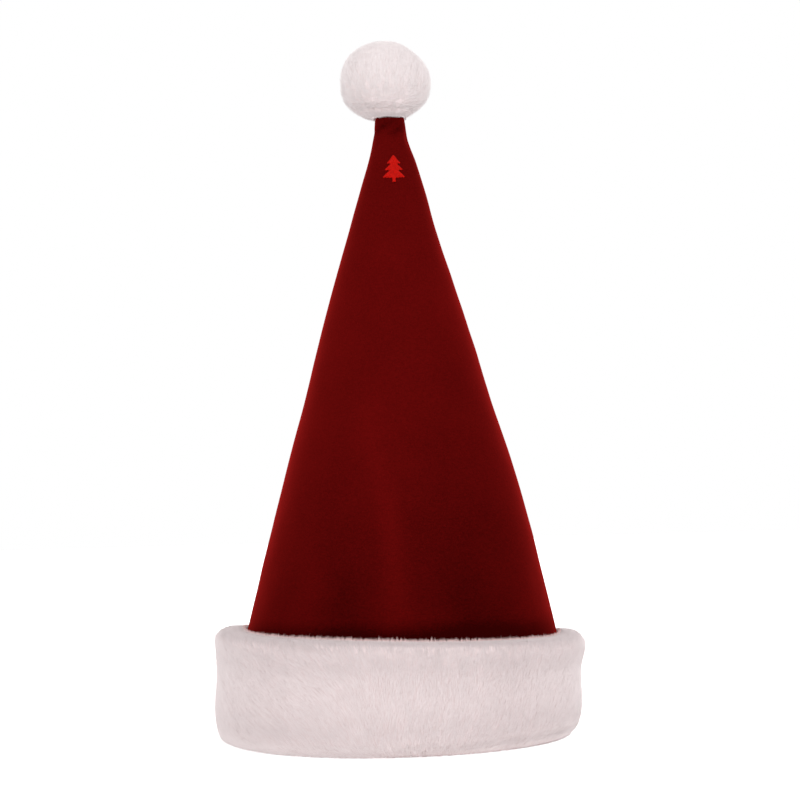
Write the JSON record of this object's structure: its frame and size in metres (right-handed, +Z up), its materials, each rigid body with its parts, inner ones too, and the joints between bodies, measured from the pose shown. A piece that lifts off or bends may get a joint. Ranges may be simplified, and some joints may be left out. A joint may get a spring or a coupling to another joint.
{
  "type": "santa hat",
  "caption": "Tall red velvet hat that stands on its turned-up white plush cuff, with a plush pompom on its closed tip and a small embroidered fir.",
  "frame": {"origin": "middle of the hat's box, on the surface that its cuff stands on", "axes": "+Z up towards the pompom, +X to the right seen from the front, -Y towards the front, where the fir is"},
  "size_m": [0.2236, 0.2226, 0.4269],
  "materials": {
    "red_velvet": "dark red velvet with a short nap",
    "white_plush": "short dense white plush with a faint pink cast",
    "pompom_plush": "short dense white plush, brushed into a ball",
    "red_thread": "satin stitch in bright red thread"
  },
  "bodies": {
    "root": {"crown": "red_velvet", "cuff": "white_plush", "pompom": "pompom_plush", "embroidered_fir": "red_thread"}
  },
  "joints": []
}
